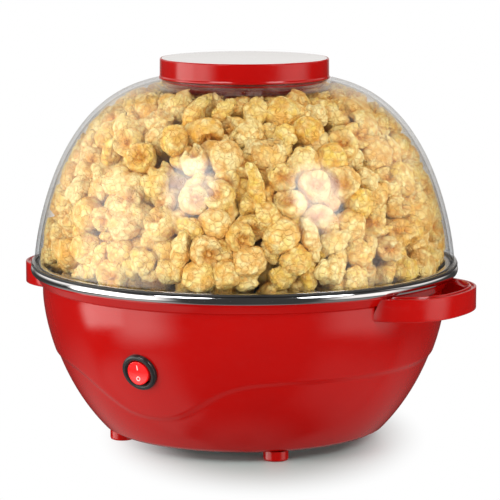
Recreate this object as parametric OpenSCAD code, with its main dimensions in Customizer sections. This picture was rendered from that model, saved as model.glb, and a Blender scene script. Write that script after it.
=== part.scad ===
// Stirring popcorn maker: a heated pan in a bowl-shaped base, a motor-driven stirring rod,
// a clear dome that covers the pan, and a plug cap over the well in the dome's top.
// Frame: z = 0 is the surface under the feet, the z axis is the stirring shaft,
// -Y is the switch side, and the two handles lie along X.

/* [Housing] */
// Largest radius of the red bowl's wall
body_r_max = 134.2; // [133.8:0.1:134.6]
// Wall thickness of the bowl
body_wall = 3.2; // [3:0.1:3.4]
// Depth of the wavy step where the upper skin stands proud of the lower bowl
crease_step = 1.2; // [0.6:0.1:1.4]
// Height of the wavy step at the sides
crease_z = 58; // [56:1:60]
// How far the step dips under the switch and at the back
crease_dip = 28; // [10:1:30]

/* [Rim] */
// Largest radius of the chrome ring
rim_r = 142; // [141.8:0.1:142.4]
// Height of the top of the groove that the dome stands in
rim_top = 117; // [117:0.1:117.2]

/* [Dome] */
// Wall thickness of the clear dome
dome_wall = 2.4; // [2:0.1:2.6]
// Radius of the cap's opening in the dome's top
well_r = 54.3; // [54.2:0.1:54.6]

/* [Cap] */
// Height of the cap's top
cap_top = 252.4; // [251.8:0.1:253]
// Radius of the cap's side
cap_r = 55.8; // [55.6:0.1:56]

/* [Handles] */
// Distance from the shaft to a handle's tip
handle_tip = 163; // [161:1:166]
// Half of a handle's width at its root
handle_half_w = 50; // [48:1:51]
// Height of a handle's underside
handle_bottom = 94.5; // [93:0.5:96]
// Thickness of a handle's band
handle_band = 6; // [4.5:0.5:6]

/* [Pan] */
// Height of the pan's cooking surface
pan_floor = 72; // [71.8:0.1:72.2]
// Radius of the pan's flat floor
pan_floor_r = 79; // [78:0.5:79.5]
// Thickness of the pan's sheet
pan_sheet = 1.6; // [1.4:0.1:1.8]
// Slope of the pan's side
pan_slope = 46; // [45.6:0.1:46.4]

/* [Stirring rod] */
// Radius of the stirring rod's wire
rod_wire_r = 2; // [1.6:0.1:2.2]
// Level run of the longer arm
rod_run = 58; // [40:1:60]

/* [Drive] */
// Gear module
gear_module = 0.8; // [0.8:0.8]
// Teeth of each pinion
pinion_teeth = 12; // [12:12]
// Teeth of each wheel
wheel_teeth = 48; // [48:48]
// Radius of the drive shaft's journal
shaft_r = 4; // [3.6:0.1:4.2]

/* [Switch] */
// Height of the switch's centre
switch_z = 63; // [62:0.5:64]
// Radius of the round bezel
bezel_r = 12.2; // [11.8:0.1:12.6]
// Tilt of the rocker at rest, with its upper end pressed in
rocker_tilt = 7; // [4:0.5:8]

/* [Feet] */
// Height of the feet
foot_h = 6.5; // [6.5:6.5]
// Radius of a foot
foot_r = 8.2; // [7:0.1:8.4]
// Distance from the shaft to each foot's centre
foot_circle_r = 83.5; // [82:0.5:83.5]

/* [Hidden] */
$fn = 96;

running = 0.05;       // radial clearance of a running fit
eps = 0.01;           // cuts run this much past the faces they open

// Housing
shoulder_z = 98.5;    // height at which the bowl is widest
bowl_drop = 124;      // depth at which the bowl's curve would close
bowl_round = 1.64;    // exponents of the bowl's curve
bowl_full = 2.6;
bowl_steps = 16;
crease_half_w = 45;   // half of the dip's width
crease_bend = 2.5;
band_z = 103.6;       // foot of the rim band
band_top = 110.6;
ledge_z = 109;        // ledge that carries the pan
ledge_r = 137.6;
floor_hole_r = 58;    // opening in the housing's floor
floor_t = 2.6;
post_circle_r = 76;   // three posts carry the pan
post_r = 6.5;
post_neck_r = 4.5;
post_top = 64;
screw_r = 2;
cover_screw_r = 1.5;
cover_circle_r = 63;
handle_screw_z = 102;
inlet_z = 30;
inlet_r = 7;
inlet_face = 118;

// Dome
dome_base_z = 111.24; // the dome's curve starts here
dome_base_r = 140;
dome_rise = 130.58;
dome_round = 1.583;   // exponents of the dome's curve
dome_full = 3.736;
dome_steps = 22;
bead_top = 119.2;
seat_z = 239;         // flat edge that the cap rests on
well_floor = 234.4;
dome_top_z = 238.6;   // the dome's outer curve ends here, a little outside the well
groove_floor = 114.8;
chrome_top = 116;     // the seal's lip lies on the chrome here
seal_t = 0.8;
plug_r = well_r - 0.9; // the cap's plug

// Pan
pan_arc = 30;         // fillet between the pan's floor and its side
pan_under = pan_floor - pan_sheet;
element_circle_r = 58;
element_r = 3.25;

// Shaft bearing
bush_r = 6.5;
bush_foot = 65;
bush_top = 79;
shaft_seal_t = 1.2;

// Heat shield, motor and gearbox
shield_z = 50;
shield_t = 1;
shield_r = 84;
shield_bore_r = 9.5;
centre_d = gear_module * (pinion_teeth + wheel_teeth) / 2;
pressure = 25;
backlash = 0.06;      // taken off each flank at the pitch circle
case_r = 22.5;
case_wall = 1.6;
case_floor = 26;
case_rim = 43;
pin_r = 1.5;
ear_x = 30;           // the case hangs from two ears this far from the shaft
ear_z = 36;
motor_z = 12;
motor_can_r = 25;
rotor_z = 14;
rotor_r = 12.5;
motor_pinion_z = 29;
idler_z = 29.5;
idler_pinion_z = 33.5;
output_z = 36;
wheel_face = 4;
hub_z = 80.5;         // the stirrer's hub
hub_r = 9.5;
hub_top = 90;
stud_r = 2;           // threaded top of the drive shaft

// Switch
wall_lean = 18;       // how far the wall leans over at the switch
barrel_r = 10;
throat_r = 8.5;
rocker_r = 7.75;
pivot_depth = 1;

// the bowl's and the dome's radius at a height, and their curves between two heights
function bowl_r(z, inset = 0) = z >= shoulder_z ? body_r_max - inset :
    (body_r_max - inset) * pow(1 - pow((shoulder_z - z) / bowl_drop, bowl_round), 1 / bowl_full);
function bowl_curve(z0, z1, inset) = [for (i = [0:bowl_steps])
    let (z = z0 + (z1 - z0) * sin(90 * i / bowl_steps)) [bowl_r(z, inset), z]];
function dome_r(z, inset = 0) = (dome_base_r - inset)
    * pow(1 - pow((z - dome_base_z) / (dome_rise - inset), dome_round), 1 / dome_full);
function dome_curve(z0, z1, inset) = [for (i = [0:dome_steps])
    let (z = z0 + (z1 - z0) * sin(90 * i / dome_steps)) [dome_r(z, inset), z]];
function arc(c, r, a0, a1, steps) = [for (i = [0:steps])
    let (a = a0 + (a1 - a0) * i / steps) [c[0] + r * cos(a), c[1] + r * sin(a)]];
function reversed(list) = [for (i = [len(list) - 1:-1:0]) list[i]];
function polar(r, a) = [r * cos(a), r * sin(a)];

// the fillet between the pan's floor and its side, and the side's radius at a height; off is the
// distance outwards from the cooking surface
function pan_fillet(off) =
    arc([pan_floor_r, pan_floor + pan_arc], pan_arc + off, -90, -90 + pan_slope, 8);
function pan_side_r(z, off) = pan_floor_r + (pan_arc + off) * sin(pan_slope)
    + (z - pan_floor - pan_arc + (pan_arc + off) * cos(pan_slope)) / tan(pan_slope);

function involute(a) = tan(a) * 180 / PI - a;
function pitch_r(teeth) = gear_module * teeth / 2;
// half of a tooth's angle at radius r
function half_tooth(teeth, r) = let (base = pitch_r(teeth) * cos(pressure))
    90 / teeth - backlash / pitch_r(teeth) * 180 / PI + involute(pressure)
    - (r > base ? involute(acos(base / r)) : 0);
function gear_points(teeth) = let (p = pitch_r(teeth),
        radii = [p - 0.88, p, p + 0.32, p + 0.64])
    [for (t = [0:teeth - 1]) let (c = 360 * t / teeth)
        for (i = [0:7]) let (r = radii[i < 4 ? i : 7 - i])
            polar(r, c + (i < 4 ? -1 : 1) * half_tooth(teeth, r))];

// an arm's centre line as [x, z]: down out of the hub, level just above the pan, up its side
function arm_path(run) =
    let (bend = 8, level = pan_floor + rod_wire_r + 1, x0 = 20.8, centre = level + bend,
        start = 6, drop_x = x0 - bend * sin(45), drop_z = centre - bend * cos(45),
        tail_x = x0 + run + bend * sin(pan_slope), tail_z = centre - bend * cos(pan_slope))
    concat([[start, drop_z + drop_x - start]],
        arc([x0, centre], bend, -135, -90, 4),
        arc([x0 + run, centre], bend, -90, -90 + pan_slope, 4),
        [[tail_x + 9 * cos(pan_slope), tail_z + 9 * sin(pan_slope)]]);

// ---------------------------------------------------------------- red base

module bowl_outside() {
    rotate_extrude()
        polygon(concat([[0, foot_h]], bowl_curve(foot_h, shoulder_z, 0),
            [[body_r_max, band_z], [0, band_z]]));
}

module rim_band() {
    rotate_extrude()
        polygon([[0, band_z - 3], [body_r_max, band_z - 3], [body_r_max, band_z],
            [body_r_max + 1.8, band_z + 1], [body_r_max + 4.6, band_top - 1.4],
            [body_r_max + 4.8, band_top], [0, band_top]]);
}

// everything above the wavy step: its lower edge is level at the sides and dips at front and back
module above_crease() {
    reach = body_r_max + 10;
    dip = [for (i = [-10:9]) let (x = 8 * i + 4)
        [x, crease_z - crease_dip * exp(-pow(abs(x) / crease_half_w, crease_bend))]];
    rotate([90, 0, 0])
        translate([0, 0, -reach])
            linear_extrude(2 * reach)
                polygon(concat([[reach, crease_z], [reach, 150], [-reach, 150],
                    [-reach, crease_z]], dip));
}

module post_places() {
    for (a = [0, 120, 240]) rotate([0, 0, a]) translate([post_circle_r, 0, 0]) children();
}

module cover_screw_places() {
    for (a = [45:90:315]) rotate([0, 0, a]) translate([cover_circle_r, 0, 0]) children();
}

module foot_places() {
    for (a = [45:90:315]) rotate([0, 0, a]) translate([foot_circle_r, 0, 0]) children();
}

module handle_screw_places() {
    for (side = [0, 180]) for (a = [-17.5, 17.5])
        rotate([0, 0, side + a])
            translate([0, 0, handle_screw_z]) rotate([0, 90, 0]) children();
}

module at_switch() {
    translate([0, -bowl_r(switch_z), switch_z]) rotate([90 + wall_lean, 0, 0]) children();
}

module at_inlet() {
    translate([0, inlet_face, inlet_z]) rotate([-90, 0, 0]) children();
}

module bowl_skin() {
    union() {
        rotate_extrude()
            polygon(concat([[0, foot_h]], bowl_curve(foot_h, shoulder_z, crease_step),
                [[body_r_max - crease_step, band_z], [0, band_z]]));
        intersection() {
            bowl_outside();
            above_crease();
        }
        rim_band();
        at_inlet() translate([0, 0, -22]) cylinder(r = 11, h = 22);
    }
}

module bowl_cavity() {
    cavity_floor = foot_h + floor_t;
    rotate_extrude()
        polygon(concat([[0, cavity_floor]], bowl_curve(cavity_floor, shoulder_z, body_wall),
            [[body_r_max - body_wall, ledge_z], [ledge_r, ledge_z],
            [ledge_r, band_top + 1], [0, band_top + 1]]));
}

module base_housing() {
    color("firebrick")
        difference() {
            union() {
                difference() {
                    bowl_skin();
                    bowl_cavity();
                }
                post_places() translate([0, 0, foot_h + 1]) {
                    cylinder(r = post_r, h = shield_z - foot_h - 1);
                    cylinder(r = post_neck_r, h = post_top - foot_h - 1);
                }
                cover_screw_places() translate([0, 0, foot_h + 1]) cylinder(r = 4.5, h = 13);
            }
            translate([0, 0, foot_h - 1]) cylinder(r = floor_hole_r, h = floor_t + 2);
            post_places() {
                translate([0, 0, foot_h - 1]) cylinder(r = 4, h = 58 - foot_h + 1);
                cylinder(r = screw_r, h = post_top + 1);
            }
            cover_screw_places() translate([0, 0, foot_h - 1]) cylinder(r = cover_screw_r, h = 11);
            foot_places() translate([0, 0, foot_h - 1]) cylinder(r = 3, h = 6);
            at_switch() translate([0, 0, -12]) cylinder(r = barrel_r + running, h = 16);
            at_inlet() translate([0, 0, -24]) cylinder(r = inlet_r, h = 25);
            handle_screw_places() translate([0, 0, 120]) cylinder(r = cover_screw_r, h = 25);
        }
}

module bottom_cover() {
    cover_t = 1.5;
    color("dimgray")
        translate([0, 0, foot_h - cover_t])
            difference() {
                cylinder(r = 68, h = cover_t);
                for (a = [15:30:345])
                    rotate([0, 0, a]) translate([28, -1.5, -1]) cube([22, 3, cover_t + 2]);
                cover_screw_places() translate([0, 0, -1]) cylinder(r = cover_screw_r, h = cover_t + 2);
            }
}

module foot(a) {
    color("firebrick")
        rotate([0, 0, a])
            translate([foot_circle_r, 0, 0])
                rotate_extrude()
                    polygon([[0, 0], [foot_r - 1.4, 0], [foot_r - 0.4, 0.4], [foot_r, 1.4],
                        [foot_r, foot_h], [3, foot_h], [3, foot_h + 4], [0, foot_h + 4]]);
}

module foot_front_left() { foot(225); }
module foot_front_right() { foot(315); }
module foot_rear_left() { foot(135); }
module foot_rear_right() { foot(45); }

// outline of a handle in plan, drawn in by t; a rounded D about its own centre
module handle_outline(t, half_w) {
    centre = 118;
    a = handle_tip - centre - t;
    power = 2.4;
    polygon(concat([[centre - 40, -half_w], [centre - 40, half_w]],
        [for (i = [18:-1:-18]) let (q = 5 * i)
            [centre + a * pow(cos(q), 2 / power), half_w * sign(q) * pow(abs(sin(q)), 2 / power)]]));
}

module handle() {
    wall_top = 109.4;
    lip_top = 110.2;
    groove_floor_z = 108.2;
    color("firebrick")
        difference() {
            union() {
                translate([0, 0, handle_bottom])
                    linear_extrude(groove_floor_z - handle_bottom)
                        handle_outline(0, handle_half_w);
                translate([0, 0, groove_floor_z])
                    linear_extrude(wall_top - groove_floor_z)
                        difference() {
                            handle_outline(0, handle_half_w);
                            handle_outline(1.5, handle_half_w - 1.5);
                        }
                translate([0, 0, groove_floor_z])
                    linear_extrude(lip_top - groove_floor_z)
                        handle_outline(3, handle_half_w - 3);
            }
            translate([0, 0, handle_bottom - 1])
                linear_extrude(30)
                    handle_outline(handle_band, handle_half_w - handle_band - 5);
            bowl_outside();
            rim_band();
            handle_screw_places() translate([0, 0, 120]) cylinder(r = cover_screw_r, h = 25);
        }
}

module handle_left() { rotate([0, 0, 180]) handle(); }
module handle_right() { handle(); }

// ---------------------------------------------------------------- rim

module chrome_rim() {
    half_h = (chrome_top - band_top) / 2;
    bulge = [for (i = [-6:6]) let (a = 15 * i)
        [rim_r - 1.6 + 1.6 * cos(a), band_top + half_h + half_h * sin(a)]];
    groove_in = dome_base_r - dome_wall - 0.9;
    groove_out = dome_base_r - 0.15;
    color("silver")
        rotate_extrude()
            polygon(concat([[133, band_top]], bulge, [[groove_out, chrome_top],
                [groove_out, groove_floor], [groove_in, groove_floor], [groove_in, rim_top],
                [134, rim_top], [133, rim_top - 1]]));
}

// the seal lies in the groove under the dome's foot and has a lip that shows above the chrome
module rim_seal() {
    inner_r = dome_base_r - dome_wall - 0.7;
    leg_in = dome_base_r - 0.45;
    leg_out = dome_base_r - 0.2;
    lip_r = rim_r - 0.3;
    color("black")
        rotate_extrude()
            polygon([[inner_r, groove_floor], [leg_out, groove_floor], [leg_out, chrome_top + 0.05],
                [lip_r - 0.1, chrome_top + 0.05], [lip_r, chrome_top + 0.6],
                [lip_r - 0.1, rim_top + 0.3], [leg_in, rim_top + 0.3],
                [leg_in, groove_floor + seal_t], [inner_r, groove_floor + seal_t]]);
}

// ---------------------------------------------------------------- pan and heat

module heating_pan() {
    flange_top = ledge_z + pan_sheet;
    color("#3b3b3e")
        difference() {
            rotate_extrude()
                polygon(concat([[0, pan_floor]], pan_fillet(0),
                    [[pan_side_r(flange_top, 0), flange_top], [ledge_r - 0.2, flange_top],
                    [ledge_r - 0.2, ledge_z], [pan_side_r(ledge_z, pan_sheet), ledge_z]],
                    reversed(pan_fillet(pan_sheet)), [[0, pan_under]]));
            translate([0, 0, pan_under - 1]) cylinder(r = bush_r, h = pan_sheet + 2);
        }
}

module pan_brackets() {
    strap = 1.2;
    width = 12;
    inner_x = 62.5;
    upright_x = 68.8;
    color("gainsboro")
        for (a = [0, 120, 240])
            rotate([0, 0, a])
                difference() {
                    translate([0, -width / 2, 0]) {
                        translate([inner_x, 0, pan_under - strap])
                            cube([upright_x + strap - inner_x, width, strap]);
                        translate([upright_x, 0, post_top]) cube([strap, width, pan_under - post_top]);
                        translate([upright_x, 0, post_top]) cube([12, width, strap]);
                    }
                    translate([post_circle_r, 0, post_top - 1]) cylinder(r = screw_r, h = strap + 2);
                }
}

module element_tube(spare = 0) {
    translate([0, 0, pan_under - element_r])
        rotate([0, 0, 100])
            rotate_extrude(angle = 340)
                translate([element_circle_r, 0]) circle(r = element_r + spare, $fn = 32);
}

module heating_element() {
    end_r = 3.6;
    end_z = 54;
    color("slategray") {
        union() {
            element_tube();
            for (a = [100, 80])
                rotate([0, 0, a])
                    translate([element_circle_r, 0, end_z])
                        cylinder(r = end_r, h = pan_under - end_z - 0.5);
        }
    }
}

module element_clips() {
    size = [13, 8, 7.7];
    color("gainsboro")
        difference() {
            for (a = [30, 180, 300])
                rotate([0, 0, a])
                    translate([element_circle_r - size[0] / 2, -size[1] / 2, pan_under - size[2]])
                        cube(size);
            element_tube();
        }
}

module thermostat() {
    can_r = 9;
    can_h = 9;
    tab = [0.8, 6.4, 7];
    color("#d8d2c2")
        translate([-32, 0, pan_under - can_h]) {
            cylinder(r = can_r, h = can_h);
            for (x = [-5.5, 4.7]) translate([x, -tab[1] / 2, -tab[2]]) cube(tab);
        }
}

module thermal_fuse() {
    fuse_r = 2.6;
    fuse_l = 18;
    color("gold")
        translate([32, -fuse_l / 2, pan_under - fuse_r])
            rotate([-90, 0, 0]) cylinder(r = fuse_r, h = fuse_l);
}

module heat_shield() {
    color("lightgray")
        difference() {
            translate([0, 0, shield_z]) cylinder(r = shield_r, h = shield_t);
            translate([0, 0, shield_z - 1]) cylinder(r = shield_bore_r, h = shield_t + 2);
            post_places() translate([0, 0, shield_z - 1]) cylinder(r = post_neck_r, h = shield_t + 2);
            motor_screw_places() translate([0, 0, shield_z - 1]) cylinder(r = pin_r, h = shield_t + 2);
        }
}

// ---------------------------------------------------------------- shaft bearing in the pan

module shaft_bush() {
    bore_r = shaft_r + running;
    collar_r = bush_r + 3;
    color("goldenrod")
        rotate_extrude()
            polygon([[bore_r, bush_foot], [bush_r, bush_foot], [bush_r, pan_floor],
                [collar_r, pan_floor], [collar_r, pan_floor + 1.5], [bush_r, pan_floor + 2.5],
                [bush_r, bush_top], [bore_r, bush_top]]);
}

module bush_nut() {
    nut_z = bush_foot + 1;
    color("goldenrod")
        translate([0, 0, nut_z])
            difference() {
                cylinder(r = 11, h = pan_under - nut_z, $fn = 6);
                translate([0, 0, -1]) cylinder(r = bush_r, h = 8);
            }
}

module shaft_seal() {
    color("dimgray")
        translate([0, 0, bush_top])
            difference() {
                cylinder(r = bush_r, h = shaft_seal_t);
                translate([0, 0, -1]) cylinder(r = shaft_r + running, h = shaft_seal_t + 2);
            }
}

// ---------------------------------------------------------------- motor and gears

module gear(teeth, face) {
    linear_extrude(face) polygon(gear_points(teeth));
}

module case_outline(r) {
    circle(r = r);
    translate([-r, 0]) square([2 * r, centre_d]);
    translate([0, centre_d]) circle(r = r);
}

module motor_screw_places() {
    for (x = [-ear_x, ear_x]) translate([x, centre_d / 2, 0]) children();
}

module gearbox_case() {
    color("whitesmoke")
        difference() {
            union() {
                translate([0, 0, case_floor])
                    linear_extrude(case_rim - case_floor) case_outline(case_r);
                motor_screw_places() translate([0, 0, ear_z]) cylinder(r = 5, h = shield_z - ear_z);
                translate([-ear_x, centre_d / 2 - 2.5, ear_z]) cube([2 * ear_x, 5, case_rim - ear_z]);
            }
            translate([0, 0, case_floor + 2])
                linear_extrude(case_rim - case_floor) case_outline(case_r - case_wall);
            translate([0, 0, case_floor - 1]) cylinder(r = pin_r + running, h = 4);
            translate([0, centre_d, case_floor - 1]) cylinder(r = pin_r, h = 4);
            motor_screw_places() translate([0, 0, ear_z + 3]) cylinder(r = pin_r, h = 12);
        }
}

module gearbox_cover() {
    color("gainsboro")
        difference() {
            union() {
                translate([0, 0, case_rim]) linear_extrude(3) case_outline(case_r);
                translate([0, 0, case_rim]) cylinder(r = 8, h = 6);
            }
            translate([0, 0, case_rim - 1]) cylinder(r = shaft_r + running, h = 8);
            translate([0, centre_d, case_rim - 1]) cylinder(r = pin_r, h = 5);
        }
}

module motor_can() {
    can_wall = 1;
    color("silver")
        difference() {
            union() {
                translate([0, 0, motor_z]) cylinder(r = motor_can_r, h = case_floor - motor_z);
                translate([0, 0, motor_z - 1.5]) cylinder(r = 5, h = 2);
            }
            translate([0, 0, motor_z + can_wall])
                cylinder(r = motor_can_r - can_wall, h = case_floor - motor_z);
            translate([0, 0, motor_z - 0.6]) cylinder(r = pin_r + running, h = 4);
        }
}

module stator_coil() {
    coil_h = 12.4;
    color("peru")
        translate([0, 0, motor_z + 1])
            difference() {
                cylinder(r = motor_can_r - 1.5, h = coil_h);
                translate([0, 0, -1]) cylinder(r = rotor_r + 1.5, h = coil_h + 2);
            }
}

module motor_rotor() {
    half_pitch = 180 / pinion_teeth;
    color("darkslategray")
        union() {
            translate([0, 0, motor_z - 0.4]) cylinder(r = pin_r, h = 20);
            translate([0, 0, rotor_z]) cylinder(r = rotor_r, h = 10.8);
            translate([0, 0, motor_pinion_z]) rotate([0, 0, half_pitch]) gear(pinion_teeth, 6);
        }
}

module idler_gear() {
    half_pitch = 180 / pinion_teeth;
    color("ivory")
        translate([0, centre_d, 0])
            difference() {
                union() {
                    translate([0, 0, idler_z]) gear(wheel_teeth, wheel_face);
                    translate([0, 0, idler_pinion_z])
                        rotate([0, 0, half_pitch]) gear(pinion_teeth, 2 * wheel_face);
                }
                translate([0, 0, idler_z - 1.5]) cylinder(r = pin_r + running, h = 16);
            }
}

module idler_pin() {
    color("silver")
        translate([0, centre_d, case_floor]) cylinder(r = pin_r, h = case_rim + 3 - case_floor);
}

module output_gear() {
    color("ivory")
        difference() {
            union() {
                translate([0, 0, output_z]) gear(wheel_teeth, wheel_face);
                translate([0, 0, output_z + wheel_face]) cylinder(r = 7, h = 2.4);
            }
            translate([0, 0, output_z - 1]) cylinder(r = shaft_r, h = 9);
        }
}

// the shaft's driving end has two flats
module drive_end(z, h) {
    end_r = 3;
    flats = 4.4;
    intersection() {
        translate([0, 0, z]) cylinder(r = end_r, h = h);
        translate([-end_r - 1, -flats / 2, z]) cube([2 * end_r + 2, flats, h]);
    }
}

module drive_shaft() {
    color("silver")
        union() {
            translate([0, 0, output_z]) cylinder(r = shaft_r, h = hub_z - output_z);
            drive_end(hub_z - 0.1, hub_top - hub_z + 0.1);
            translate([0, 0, hub_top - 0.1]) cylinder(r = stud_r, h = 4.6);
        }
}

// ---------------------------------------------------------------- stirring rod

// sweeps a round wire along a path that lies in the XZ plane
module swept_wire(path, wire_r, sides = 16) {
    last = len(path) - 1;
    rings = [for (i = [0:last])
        let (d = path[min(i + 1, last)] - path[max(i - 1, 0)], n = [-d[1], d[0]] / norm(d))
            for (j = [0:sides - 1]) let (c = wire_r * cos(360 * j / sides))
                [path[i][0] + n[0] * c, wire_r * sin(360 * j / sides), path[i][1] + n[1] * c]];
    walls = [for (i = [0:last - 1]) for (j = [0:sides - 1]) let (k = (j + 1) % sides)
        [i * sides + j, i * sides + k, (i + 1) * sides + k, (i + 1) * sides + j]];
    ends = [[for (j = [sides - 1:-1:0]) j], [for (j = [0:sides - 1]) last * sides + j]];
    polyhedron(rings, concat(walls, ends));
}

// the rod's two arms, one a little shorter than the other
module rod_arms() {
    swept_wire(arm_path(rod_run), rod_wire_r);
    rotate([0, 0, 180]) swept_wire(arm_path(rod_run - 14), rod_wire_r);
}

module stirring_rod() {
    color("silver") rod_arms();
}

module stirrer_hub() {
    color("#222222")
        difference() {
            rotate_extrude()
                polygon([[0, hub_z], [hub_r - 0.5, hub_z], [hub_r, hub_z + 0.5],
                    [hub_r, hub_top - 1.5], [hub_r - 1.5, hub_top], [0, hub_top]]);
            drive_end(hub_z - 0.5, hub_top - hub_z + 2);
            rod_arms();
        }
}

module stirrer_nut() {
    color("silver")
        difference() {
            union() {
                translate([0, 0, hub_top]) cylinder(r = 5, h = 4, $fn = 6);
                translate([0, 0, hub_top]) cylinder(r = 3.6, h = 5.6);
            }
            translate([0, 0, hub_top - 1]) cylinder(r = stud_r, h = 5.5);
        }
}

// ---------------------------------------------------------------- switch

module switch_bezel() {
    pin_l = 2 * (barrel_r + 1);
    color("#151515")
        difference() {
            union() {
                difference() {
                    at_switch()
                        rotate_extrude()
                            polygon(concat([[0, -1.5], [bezel_r, -1.5]],
                                arc([bezel_r - 1.6, 1], 1.6, 0, 90, 5), [[0, 2.6]]));
                    bowl_outside();
                }
                at_switch() translate([0, 0, -17]) cylinder(r = barrel_r, h = 18.5);
            }
            at_switch() {
                translate([0, 0, -8]) cylinder(r = throat_r, h = 14);
                translate([0, 0, 1.7]) cylinder(r1 = throat_r, r2 = throat_r + 1.2, h = 1.2);
                translate([-pin_l / 2, 0, -pivot_depth]) rotate([0, 90, 0]) cylinder(r = 1, h = pin_l);
            }
        }
}

module switch_rocker() {
    dish_r = 34;
    face_z = 4.6;
    color("#e01818")
        at_switch()
            translate([0, 0, -pivot_depth])
                rotate([-rocker_tilt, 0, 0])
                    difference() {
                        translate([0, 0, -3]) cylinder(r = rocker_r, h = face_z + 3);
                        translate([-10, 0, face_z + dish_r - 0.9])
                            rotate([0, 90, 0]) cylinder(r = dish_r, h = 20);
                        translate([-10, 0, 0]) rotate([0, 90, 0]) cylinder(r = 1 + running, h = 20);
                    }
}

module rocker_pin() {
    color("silver")
        at_switch()
            translate([-9.2, 0, -pivot_depth]) rotate([0, 90, 0]) cylinder(r = 1, h = 18.4);
}

module switch_terminals() {
    color("goldenrod")
        at_switch()
            for (y = [-6, 0, 6]) translate([-3.15, y - 0.4, -25]) cube([6.3, 0.8, 8]);
}

// ---------------------------------------------------------------- mains inlet and wiring

module terminal_block() {
    block_y = 70;
    floor_top = foot_h + floor_t;
    color("ivory")
        difference() {
            translate([-15, block_y, floor_top]) cube([30, 14, 12]);
            for (x = [-10, 0, 10])
                translate([x, block_y + 7, floor_top + 6]) cylinder(r = 2.5, h = 7);
        }
}

// a bush with a flange outside the wall and a nose that grips the lead
module cord_gland() {
    body_l = 16;
    flange_r = 9.5;
    flange_t = 3;
    nose_l = 9;
    nose_r = 6;
    lead_r = 3.6;
    grip_start = 1;
    color("#1c1c1c")
        at_inlet()
            difference() {
                union() {
                    translate([0, 0, -body_l]) cylinder(r = inlet_r, h = body_l + 1);
                    cylinder(r = flange_r, h = flange_t);
                    cylinder(r1 = nose_r + 1, r2 = nose_r, h = flange_t + nose_l);
                }
                translate([0, 0, -body_l - 1]) cylinder(r = lead_r + 1, h = body_l + 1 + grip_start);
                cylinder(r = lead_r, h = flange_t + nose_l + 1);
            }
}

module wiring_loom() {
    loom_r = 92;
    loom_z = 34;
    color("white")
        union() {
            translate([0, 0, loom_z])
                rotate([0, 0, 102])
                    rotate_extrude(angle = 160) translate([loom_r, 0]) circle(r = 2, $fn = 32);
            rotate([0, 0, 102]) translate([loom_r, 0, 20]) cylinder(r = 2.3, h = loom_z - 20 + 1);
            rotate([0, 0, 262]) translate([loom_r, 0, loom_z - 1]) cylinder(r = 2.3, h = 34);
        }
}

// ---------------------------------------------------------------- fasteners

// a screw whose head's underside is at z = 0, with its shank along +Z
module screw(shank_r, shank_l, head_r, head_h) {
    color("gray")
        difference() {
            union() {
                translate([0, 0, -head_h]) cylinder(r = head_r, h = head_h);
                translate([0, 0, -eps]) cylinder(r = shank_r, h = shank_l + eps);
            }
            for (a = [0, 90])
                rotate([0, 0, a]) translate([-head_r * 0.6, -0.4, -head_h - 1]) cube([head_r * 1.2, 0.8, 2]);
        }
}

module cover_screws() {
    cover_screw_places() translate([0, 0, foot_h - 1.5]) screw(cover_screw_r, 11, 3.2, 1.8);
}

module pan_screws() {
    post_places() translate([0, 0, 58]) screw(screw_r, 10, 3.6, 2.4);
}

module motor_screws() {
    motor_screw_places()
        translate([0, 0, shield_z + shield_t]) mirror([0, 0, 1]) screw(pin_r, 11, 3, 2);
}

module handle_screws() {
    handle_screw_places()
        translate([0, 0, body_r_max - body_wall - running]) screw(cover_screw_r, 12, 3, 1.8);
}

// ---------------------------------------------------------------- dome and cap

module dome_lid() {
    collar_out = well_r + 2.2;
    seat_r = 57;
    inner_foot = dome_base_r - 0.5 - dome_wall;
    color("lightcyan", 0.35)
        difference() {
            rotate_extrude()
                polygon(concat(
                    [[0, well_floor - 2.4], [collar_out, well_floor - 2.4]],
                    reversed(dome_curve(bead_top, well_floor + 1.5, dome_wall)),
                    [[inner_foot, bead_top - 1], [inner_foot, groove_floor + seal_t],
                    [dome_base_r - 0.5, groove_floor + seal_t],
                    [dome_base_r - 0.5, rim_top + 0.4], [rim_r - 0.9, rim_top + 0.4],
                    [rim_r - 0.6, rim_top + 0.8], [rim_r - 0.9, bead_top - 0.4],
                    [rim_r - 1.8, bead_top]],
                    dome_curve(bead_top + 0.2, dome_top_z, 0),
                    [[seat_r, seat_z], [well_r, seat_z], [well_r, well_floor], [0, well_floor]]));
            for (a = [0:30:330])
                rotate([0, 0, a])
                    translate([24, -1.5, well_floor - 4]) cube([20, 3, 6]);
        }
}

module lid_cap() {
    plate_under = cap_top - 3.4;
    color("firebrick")
        rotate_extrude()
            polygon(concat([[0, plate_under], [0, cap_top - 1.4], [cap_r - 1, cap_top - 1.4],
                [cap_r - 1, cap_top - 0.3], [cap_r - 0.5, cap_top - 0.15], [cap_r, cap_top - 0.7]],
                [[cap_r + 0.2, seat_z + 1.2], [cap_r + 0.5, seat_z + 0.9], [cap_r + 0.5, seat_z + 0.2],
                [cap_r, seat_z], [plug_r, seat_z], [plug_r - 0.3, seat_z - 1.6],
                [plug_r - 1.2, seat_z - 2.6], [plug_r - 2, seat_z - 2.6],
                [plug_r - 2, plate_under]]));
}

module cap_disc() {
    color("white")
        rotate_extrude()
            polygon([[0, cap_top - 1.4], [cap_r - 1.1, cap_top - 1.4], [cap_r - 1.1, cap_top - 0.4],
                [cap_r - 1.5, cap_top], [0, cap_top]]);
}

module cap_seal() {
    color("black")
        rotate_extrude()
            polygon([[plug_r, seat_z - 1.2], [plug_r + 0.6, seat_z - 1.2],
                [plug_r + 0.6, seat_z - 0.3], [plug_r, seat_z - 0.3]]);
}

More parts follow.
